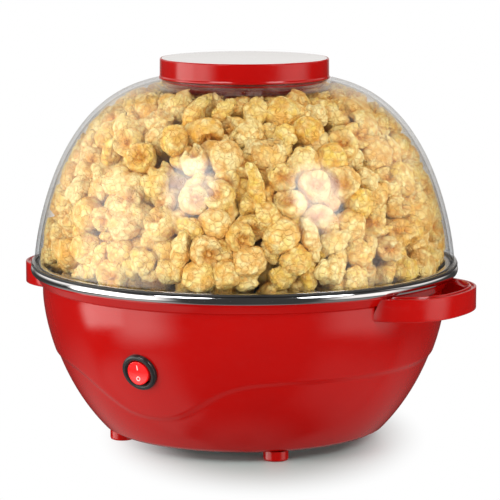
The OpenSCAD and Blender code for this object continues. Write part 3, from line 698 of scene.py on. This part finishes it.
def switch():
    ring = rounded([(12.2, -1.5, 0), (12.2, 2.6, 1.6), (9.7, 2.6, 0.5), (8.5, 1.5, 0.4),
                    (8.5, -8.0, 0), (0, -8.0, 0), (0, -17.0, 0), (10.0, -17.0, 0.5),
                    (10.0, -1.5, 0)], 6)
    revolve("bezel_ring", ring, "black_plastic", "base", ("switch_bezel",), segments=96,
            matrix=SWITCH)
    profile = [(0, -3.0), (7.2, -3.0), (ROCKER_R, -2.4), (ROCKER_R, 4.0)]
    profile += [(ROCKER_R - 0.7 + 0.7 * math.cos(a), 4.0) for a in (0.4, 0.8, 1.2)]
    rings = [7.0, 6.4, 5.6, 4.8, 4.0, 3.2, 2.4, 1.6, 0.8]
    profile += [(r, 4.0) for r in rings] + [(0, 4.0)]
    segments = 72
    verts, faces = revolve_mesh(profile, segments)
    edge_drop = {3: 0.75, 4: 0.33, 5: 0.13, 6: 0.04}
    shaped, index = [], 0
    for i, (r, z) in enumerate(profile):
        for _ in range(1 if r < 1e-6 else segments):
            x, y, _z = verts[index]
            shaped.append((x, y, z if i < 3 else rocker_face(y) - edge_drop.get(i, 0.0)))
            index += 1
    make_object("rocker_button", shaped, faces, "rocker_red", "rocker", ("switch_rocker",),
                matrix=ROCKER, sharp_deg=60)
    mark("mark_on", [(x, y) for x, y in rounded([(-0.3, 1.9, 0.28), (0.3, 1.9, 0.28),
                                                 (0.3, 5.4, 0.28), (-0.3, 5.4, 0.28)], 3)])
    circle = [(math.cos(math.radians(10 * k)), math.sin(math.radians(10 * k))) for k in range(36)]
    ring_lines = [[(r * x, r * y - 3.7) for x, y in circle] for r in (1.45, 0.95)]
    mark("mark_off", *ring_lines)


def mark(name, outline, hole=None):
    """A printed mark that stands a little proud of the rocker's face."""
    inner = hole or [(0.0, sum(y for _, y in outline) / len(outline))] * len(outline)
    n = len(outline)
    verts = []
    for loop, lift in ((outline, -0.05), (outline, 0.09), (inner, 0.09), (inner, -0.05)):
        verts += [(x, y, rocker_face(y) + lift) for x, y in loop]
    faces = []
    for j in range(4):
        here, there = j * n, (j + 1) % 4 * n
        for i in range(n):
            k = (i + 1) % n
            faces.append((here + i, here + k, there + k, there + i))
    bm = bmesh.new()
    made = [bm.verts.new(v) for v in verts]
    for f in faces:
        bm.faces.new([made[i] for i in f])
    bmesh.ops.remove_doubles(bm, verts=bm.verts, dist=1e-4)
    bmesh.ops.dissolve_degenerate(bm, dist=1e-4, edges=bm.edges)
    bm.verts.index_update()
    clean_verts = [tuple(v.co) for v in bm.verts]
    clean_faces = [tuple(v.index for v in f.verts) for f in bm.faces]
    bm.free()
    make_object(name, clean_verts, clean_faces, "rocker_red", "rocker", matrix=ROCKER,
                material="mark_ink")


switch()


# ---------------------------------------------------------------- popcorn

rng = random.Random(7)


def unit_sphere(subdivisions):
    bm = bmesh.new()
    bmesh.ops.create_icosphere(bm, subdivisions=subdivisions, radius=1)
    bm.verts.ensure_lookup_table()
    verts = np.array([v.co[:] for v in bm.verts])
    faces = np.array([[v.index for v in f.verts] for f in bm.faces])
    bm.free()
    return verts, faces


def random_direction():
    while True:
        v = Vector([rng.uniform(-1, 1) for _ in range(3)])
        if 0.1 < v.length < 1:
            return v.normalized()


def spread_directions(count):
    """Directions that keep apart from each other."""
    kept = []
    for _ in range(count):
        best = max((random_direction() for _ in range(12)),
                   key=lambda d: min([(d - k).length for k in kept], default=1))
        kept.append(best)
    return kept


def lobed(directions, lobes):
    """Radius of a clump of balls in each direction, and how far each point is from a crease."""
    reach = []
    for centre, size in lobes:
        along = directions @ np.array(centre)
        inside = along ** 2 - np.dot(centre, centre) + size ** 2
        reach.append(np.where(inside > 0, along + np.sqrt(np.maximum(inside, 0)), 0))
    reach = np.sort(np.array(reach), axis=0)
    blend = np.log(np.exp((reach - reach[-1]) * 22).sum(0)) / 22
    return reach[-1] + blend, np.clip((reach[-1] - reach[-2]) / 0.14, 0, 1)


def shell_lobes(core, count, offsets, sizes):
    """Lobes for a core ball with smaller balls set in its surface."""
    return [((0, 0, 0), core)] + [(tuple(d * rng.uniform(*offsets)), rng.uniform(*sizes))
                                  for d in spread_directions(count)]


def ridged_lobes():
    """Two rows of lobes side by side along an axis."""
    lobes = [((0, 0, 0), 0.5)]
    for k in range(9):
        z = -0.88 + 0.22 * k
        for side in (-1, 1):
            place = (side * 0.26 + rng.uniform(-0.04, 0.04), rng.uniform(-0.1, 0.1), z)
            lobes.append((place, 0.34 - 0.1 * z * z))
    return lobes


LOBES = {
    "ball": lambda: shell_lobes(0.90, 15, (0.50, 0.58), (0.38, 0.46)),
    "cluster": lambda: shell_lobes(0.66, 15, (0.48, 0.66), (0.26, 0.46)),
    "cup": lambda: shell_lobes(0.88, 12, (0.48, 0.60), (0.36, 0.46)),
    "fold": lambda: shell_lobes(0.82, 10, (0.46, 0.62), (0.34, 0.50)),
    "ridge": ridged_lobes,
}


def mouth(directions, kind):
    """How open the skin is in each direction, how far its lip stands out, and its inner lump."""
    width = {"cup": (50, 40), "fold": (66, 17)}[kind]
    angle = np.degrees(np.arccos(np.clip(directions[:, 2], -1, 1)))
    turn = np.arctan2(directions[:, 1], directions[:, 0])
    wobble = np.array([noise.noise(Vector(d) * 2.6) for d in directions]) * 11
    edge = np.hypot(width[0] * np.cos(turn), width[1] * np.sin(turn)) + wobble
    inside = np.clip((edge - angle) / 9, 0, 1)
    lip = np.exp(-((angle - edge - 4) / 6) ** 2)
    lump = np.exp(-(angle / 15) ** 2) if kind == "cup" else np.zeros(len(directions))
    return inside * inside * (3 - 2 * inside), lip, lump


def kernel(kind, directions):
    """Radii, crease distance and share in the hollows of one popped kernel; the shader darkens
    creases and hollows as painted shade.
    """
    radius, crease = lobed(directions, LOBES[kind]())
    hollow_shade = np.zeros(len(directions))
    if kind in ("cup", "fold"):
        inside, lip, lump = mouth(directions, kind)
        radius = radius * (1 + 0.08 * lip) * (1 - inside * (0.62 - 0.34 * lump))
        hollow_shade = inside * (1 - 0.8 * lump)
    seed = Vector((rng.uniform(0, 50), rng.uniform(0, 50), rng.uniform(0, 50)))
    fine = np.array([noise.fractal(Vector(d) * 3.6 + seed, 0.85, 2.1, 4) for d in directions])
    broad = np.array([noise.noise(Vector(d) * 1.3 + seed) for d in directions])
    return radius * (1 + 0.05 * fine + 0.13 * broad), crease, hollow_shade


KINDS = ["ball"] * 5 + ["cluster"] * 3 + ["cup"] * 4 + ["fold"] * 3 + ["ridge"] * 2


def prototypes(subdivisions):
    directions, faces = unit_sphere(subdivisions)
    made = []
    for kind in KINDS:
        radius, crease, hollow_shade = kernel(kind, directions)
        verts = directions * radius[:, None]
        verts = verts / np.linalg.norm(verts, axis=1).max()
        made.append((kind, verts, crease, hollow_shade))
    return made, faces


PAN_FLOOR_R, PAN_ARC, PAN_SLOPE, PAN_FLOOR = 79.0, 30.0, math.radians(46), 72.0
STIR_TOP, STIR_R = 90.5, 96.0
CEILING = WELL_FLOOR - WELL_T - 1.5
KERNEL_GAP = 1.6
INNER_WALL = dome_curve(111.5, DOME_CEILING, DOME_WALL, 60)


def layer_path(depth):
    """Centre line of a layer of kernels, at this depth in from the dome's wall and the well."""
    points = []
    wall = dome_curve(111.5, 236.5, DOME_WALL, 120)
    points.append((wall[0][0] - depth, 102.0))
    for (r0, z0), (r1, z1) in zip(wall, wall[1:]):
        normal = Vector((z1 - z0, r0 - r1)).normalized()
        r, z = r0 - normal.x * depth, z0 - normal.y * depth
        if z < CEILING - depth + 4 or r > WELL_R + 6:
            points.append((r, z))
    last_r = points[-1][0]
    steps = max(int(last_r / 3), 2)
    points += [(last_r * (1 - k / steps), CEILING - depth) for k in range(1, steps + 1)]
    return points


def scatter(depth, spacing, tries, others=None, clearance=0.0):
    """Random places on a layer, at least the spacing apart and the clearance off the others."""
    path = layer_path(depth)
    lengths, areas = [], []
    for (r0, z0), (r1, z1) in zip(path, path[1:]):
        length = math.hypot(r1 - r0, z1 - z0)
        lengths.append(length)
        areas.append(length * (r0 + r1) / 2)
    total = np.cumsum(areas)
    kept = np.zeros((0, 3))
    others = np.zeros((0, 3)) if others is None else others
    for _ in range(tries):
        pick = rng.random() * total[-1]
        i = int(np.searchsorted(total, pick))
        t, a = rng.random(), rng.random() * 2 * math.pi
        r = path[i][0] + (path[i + 1][0] - path[i][0]) * t
        z = path[i][1] + (path[i + 1][1] - path[i][1]) * t
        p = np.array((r * math.cos(a), r * math.sin(a), z))
        if len(others) and np.min(((others - p) ** 2).sum(1)) < clearance ** 2:
            continue
        if len(kept) == 0 or np.min(((kept - p) ** 2).sum(1)) > spacing ** 2:
            kept = np.vstack([kept, p])
    return kept


def clear_of_machine(r, z, size):
    """True if a kernel here stays off the pan, the stirring rod's sweep and the hub."""
    if z - size < STIR_TOP and r < STIR_R + size:
        return False
    side = PAN_FLOOR_R + PAN_ARC * math.sin(PAN_SLOPE)
    start = PAN_FLOOR + PAN_ARC * (1 - math.cos(PAN_SLOPE))
    from_slope = -(r - side) * math.sin(PAN_SLOPE) + (z - start) * math.cos(PAN_SLOPE)
    return from_slope > size * 0.8 and (r > 12 + size or z - size > 98)


def keep_inside(points):
    """Pulls points of a kernel that would reach the dome's wall or the well back inside it."""
    r = np.linalg.norm(points[:, :2], axis=1)
    highest = CEILING + 0.9
    under_well = (points[:, 2] > highest) & (r < WELL_R + 4.5)
    points[under_well, 2] = highest
    wall_r, wall_z = zip(*INNER_WALL)
    allowed = np.interp(points[:, 2], wall_z, wall_r) - KERNEL_GAP
    factor = np.where(r > allowed, allowed / np.maximum(r, 1e-6), 1.0)
    points[:, 0] *= factor
    points[:, 1] *= factor
    return points


def place_kernels(places, shapes, faces, size_range, reach):
    """Each kernel as (vertices, facts), turned and sized at random."""
    made = []
    for p in places:
        r, z = math.hypot(p[0], p[1]), p[2]
        kind, verts, crease, hollow_shade = shapes[rng.randrange(len(shapes))]
        size = rng.uniform(*size_range) * (1.3 if kind == "ridge" else 1.0)
        if not clear_of_machine(r, z, size * 0.85):
            continue
        turn = Euler([rng.uniform(0, 2 * math.pi) for _ in range(3)]).to_matrix()
        if kind in ("cup", "fold") and rng.random() < 0.75:
            outward = Vector((p[0], p[1], max(z - 130, 0) * 1.2)).normalized()
            outward = (outward + random_direction() * 0.7).normalized()
            turn = outward.to_track_quat("Z", "Y").to_matrix()
        if kind == "ridge":
            around = Vector((-p[1], p[0], 0)).normalized()
            up = (Vector((0, 0, 1)) + around * rng.uniform(-0.8, 0.8)).normalized()
            turn = up.to_track_quat("Z", "Y").to_matrix()
        stretch = np.array([rng.uniform(0.88, 1.1) for _ in range(3)])
        points = (verts * stretch * size) @ np.array(turn).T
        depth_shift = rng.uniform(-reach, 0)
        inward = np.array((-p[0] / max(r, 1), -p[1] / max(r, 1), -0.3))
        points = keep_inside(points + p + inward * depth_shift)
        # The colour attribute holds the crease distance and the share in the hollows, which the
        # shader turns into painted shade, and a random tone number.
        facts = np.ones((len(points), 4))
        facts[:, 0] = crease
        facts[:, 1] = hollow_shade
        facts[:, 2] = rng.random()
        made.append((points, facts, faces))
    return made


def popcorn_piece(name, kernels):
    verts = np.concatenate([k[0] for k in kernels]) * MM
    facts = np.concatenate([k[1] for k in kernels])
    starts = np.cumsum([0] + [len(k[0]) for k in kernels[:-1]])
    faces = np.concatenate([k[2] + s for k, s in zip(kernels, starts)])
    mesh = bpy.data.meshes.new(name)
    mesh.vertices.add(len(verts))
    mesh.vertices.foreach_set("co", verts.astype(np.float32).ravel())
    mesh.loops.add(len(faces) * 3)
    mesh.loops.foreach_set("vertex_index", faces.astype(np.int32).ravel())
    mesh.polygons.add(len(faces))
    mesh.polygons.foreach_set("loop_start", np.arange(0, len(faces) * 3, 3, dtype=np.int32))
    mesh.update(calc_edges=True)
    mesh.validate()
    mesh.shade_smooth()
    layer = mesh.attributes.new("kernel", "FLOAT_COLOR", "POINT")
    layer.data.foreach_set("color", facts.astype(np.float32).ravel())
    obj = bpy.data.objects.new(name, mesh)
    scene.collection.objects.link(obj)
    obj.data.materials.append(MATERIALS["popcorn"])
    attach(obj, "base")
    return obj


def fill_with_popcorn():
    """An outer layer of detailed kernels, and plainer layers behind it that close its gaps."""
    fine, fine_faces = prototypes(4)
    coarse, coarse_faces = prototypes(3)
    outer = scatter(10.5, 15.4, 9000)
    between = scatter(16.0, 13.5, 7000, outer, 11.0)
    collar = scatter(8.5, 12.0, 5000, outer, 9.0)
    collar = collar[np.hypot(collar[:, 0], collar[:, 1]) < WELL_R + 22]
    front = place_kernels(outer, fine, fine_faces, (10.6, 13.6), 1.5)
    second = place_kernels(between, coarse, coarse_faces, (9.5, 12.0), 1.0)
    second += place_kernels(collar, coarse, coarse_faces, (7.0, 9.0), 0.0)
    second += place_kernels(scatter(24.0, 15.5, 6000), coarse, coarse_faces, (11.5, 14.0), 2.0)
    third = place_kernels(scatter(38.0, 18.0, 2500), coarse, coarse_faces, (13.0, 16.0), 3.0)
    sectors = [[], [], [], []]
    for k in front:
        x, y = k[0][:, 0].mean(), k[0][:, 1].mean()
        sectors[int((math.degrees(math.atan2(y, x)) % 360) // 90)].append(k)
    for i, group in enumerate(sectors):
        popcorn_piece(f"popcorn_contents_{i + 1}", group)
    popcorn_piece("popcorn_contents_5", second)
    popcorn_piece("popcorn_contents_6", third)


fill_with_popcorn()


# ---------------------------------------------------------------- floor, backdrop and lights


def stage_floor():
    """A pale floor with a painted shadow round the object that fades out to a glowing pure white.
    """
    mesh = bpy.data.meshes.new("floor")
    half = 30.0
    mesh.from_pydata([(-half, -half, 0), (half, -half, 0), (half, half, 0), (-half, half, 0)], [],
                     [(0, 1, 2, 3)])
    obj = bpy.data.objects.new("floor", mesh)
    scene.collection.objects.link(obj)
    g = Graph("floor")
    turned = g.node("ShaderNodeVectorRotate", {"Vector": g.coords,
                                               "Angle": -math.radians(CAMERA_AZIMUTH)})
    painted_shadow_ellipse = g.node("ShaderNodeMapping", {"Vector": turned.outputs[0], "Scale": (1, 1 / 1.7, 1),
                                          "Location": (-0.012, 0, 0)})
    away = g.node("ShaderNodeVectorMath", {0: painted_shadow_ellipse.outputs[0]}, operation="LENGTH").outputs[1]
    mottle = g.noise(300, 3)
    # Painted shadow: inside an ellipse turned to the camera, drawn out toward it and set a little
    # to the side, the floor takes real light and shadow on a darker green-grey tone.
    tone = g.mix(mottle, (0.585, 0.74, 0.71), (0.57, 0.72, 0.69))
    lit = g.principled(color=tone, rough=0.35)
    glow = g.node("ShaderNodeEmission", {"Color": (1, 1, 1, 1), "Strength": 1.0})
    painted_shadow_fade = g.span(away, 0.056, 0.112, smooth=True)
    both = g.node("ShaderNodeMixShader", {0: painted_shadow_fade, 1: lit.outputs[0], 2: glow.outputs[0]})
    obj.data.materials.append(g.finish(both.outputs[0]))
    obj.visible_glossy = False


# The studio as glossy surfaces see it: level, then where it lies as turn to the right of the
# camera and elevation in degrees (from, to, softness for each).
SOFTBOXES = (
    (3.2, (-104, -70), (-20, 30), (5, 2.5)),
    (2.4, (-78, -46), (-27, 26), (13, 7)),
    (1.1, (-150, -100), (5, 60), (12, 10)),
    (1.2, (50, 92), (-23, 16), (13, 5)),
    (0.42, (-118, -50), (-68, -33), (14, 4)),
    (0.3, (-178, -110), (-78, -26), (8, 8)),
    (0.2, (112, 178), (-78, -26), (8, 8)),
    (0.22, (48, 118), (-60, -33), (14, 8)),
    (0.2, (-180, 180), (-91, -74), (1, 10)),
    (0.62, (158, 202), (-4, 30), (6, 5)),
    (0.9, (100, 140), (10, 45), (8, 8)),
)
AMBIENT, DIM = 0.36, 0.05


def studio_world():
    """Plain white to the camera, the softboxes to glossy rays and an even fill to all others."""
    world = bpy.data.worlds.new("studio")
    scene.world = world
    world.use_nodes = True
    world.cycles.sampling_method = "NONE"
    tree = world.node_tree
    tree.nodes.clear()

    def math_node(operation, a, b=0.0):
        made = tree.nodes.new("ShaderNodeMath")
        made.operation = operation
        for index, value in enumerate((a, b)):
            if isinstance(value, bpy.types.NodeSocket):
                tree.links.new(value, made.inputs[index])
            else:
                made.inputs[index].default_value = value
        return made.outputs[0]

    def band(value, lo, hi, soft):
        """1 between lo and hi, fading out over the softness to either side."""
        sides = []
        for start, end in ((lo - soft, lo + soft), (hi + soft, hi - soft)):
            made = tree.nodes.new("ShaderNodeMapRange")
            made.interpolation_type = "SMOOTHSTEP"
            tree.links.new(value, made.inputs["Value"])
            made.inputs["From Min"].default_value = start
            made.inputs["From Max"].default_value = end
            sides.append(made.outputs[0])
        return math_node("MULTIPLY", *sides)

    def background(level, colour=(1, 1, 1, 1)):
        made = tree.nodes.new("ShaderNodeBackground")
        if isinstance(level, bpy.types.NodeSocket):
            tree.links.new(level, made.inputs["Strength"])
        else:
            made.inputs["Strength"].default_value = level
        made.inputs["Color"].default_value = colour
        return made.outputs[0]

    towards = tree.nodes.new("ShaderNodeTexCoord").outputs["Generated"]
    split = tree.nodes.new("ShaderNodeSeparateXYZ")
    tree.links.new(towards, split.inputs[0])
    southward = math_node("MULTIPLY", split.outputs["Y"], -1)
    heading = math_node("DEGREES", math_node("ARCTAN2", split.outputs["X"], southward))
    elevation = math_node("DEGREES", math_node("ARCSINE", split.outputs["Z"]))
    level = None
    for strength, (turn0, turn1), (low, high), (soft_turn, soft_up) in SOFTBOXES:
        centre, half = CAMERA_AZIMUTH + (turn0 + turn1) / 2, (turn1 - turn0) / 2
        off = math_node("SUBTRACT", heading, centre)
        off = math_node("WRAP", off, 180.0)
        off.node.inputs[2].default_value = -180.0
        box = math_node("MULTIPLY", band(off, -half, half, soft_turn),
                        band(elevation, low, high, soft_up))
        box = math_node("MULTIPLY", box, strength)
        level = box if level is None else math_node("MAXIMUM", level, box)
    level = math_node("ADD", level, DIM)

    rays = tree.nodes.new("ShaderNodeLightPath")
    glossy = tree.nodes.new("ShaderNodeMixShader")
    tree.links.new(rays.outputs["Is Glossy Ray"], glossy.inputs[0])
    tree.links.new(background(AMBIENT), glossy.inputs[1])
    tree.links.new(background(level, (1.0, 0.955, 0.915, 1)), glossy.inputs[2])
    shown = tree.nodes.new("ShaderNodeMixShader")
    tree.links.new(rays.outputs["Is Camera Ray"], shown.inputs[0])
    tree.links.new(glossy.outputs[0], shown.inputs[1])
    tree.links.new(background(1.0), shown.inputs[2])
    output = tree.nodes.new("ShaderNodeOutputWorld")
    tree.links.new(shown.outputs[0], output.inputs["Surface"])


def area_light(name, turn, elevation, distance, width, height, radiance, round_shape=False,
               target=(0, 0, 0.13), mirrored=True):
    """A soft light at this angle to the right of the camera, aimed at the object."""
    data = bpy.data.lights.new(name, "AREA")
    data.shape = "ELLIPSE" if round_shape else "RECTANGLE"
    data.size, data.size_y = width, height
    area = width * height * (math.pi / 4 if round_shape else 1)
    data.energy = radiance * math.pi * area
    obj = bpy.data.objects.new(name, data)
    a, e = math.radians(CAMERA_AZIMUTH + turn), math.radians(elevation)
    away = Vector((math.sin(a) * math.cos(e), -math.cos(a) * math.cos(e), math.sin(e)))
    obj.location = Vector(target) + away * distance
    obj.rotation_euler = away.to_track_quat("Z", "Y").to_euler()
    obj.visible_camera = False
    obj.visible_glossy = mirrored
    scene.collection.objects.link(obj)
    return obj


stage_floor()
studio_world()
area_light("round_left", -36, 39, 1.3, 0.62, 0.62, 6.2, True)
area_light("round_right", 46, 33, 1.3, 0.62, 0.62, 6.0, True)
area_light("side_left", -74, 3, 1.0, 1.1, 0.3, 10.0, target=(0, 0, 0.04), mirrored=False)
area_light("side_right", 64, 3, 1.0, 1.1, 0.3, 5.6, target=(0, 0, 0.04), mirrored=False)
area_light("front_low", -5, 2, 1.0, 1.2, 0.1, 6.0, target=(0, 0, 0.02), mirrored=False)
area_light("top", 180, 68, 1.2, 0.7, 0.7, 5.0, mirrored=False)
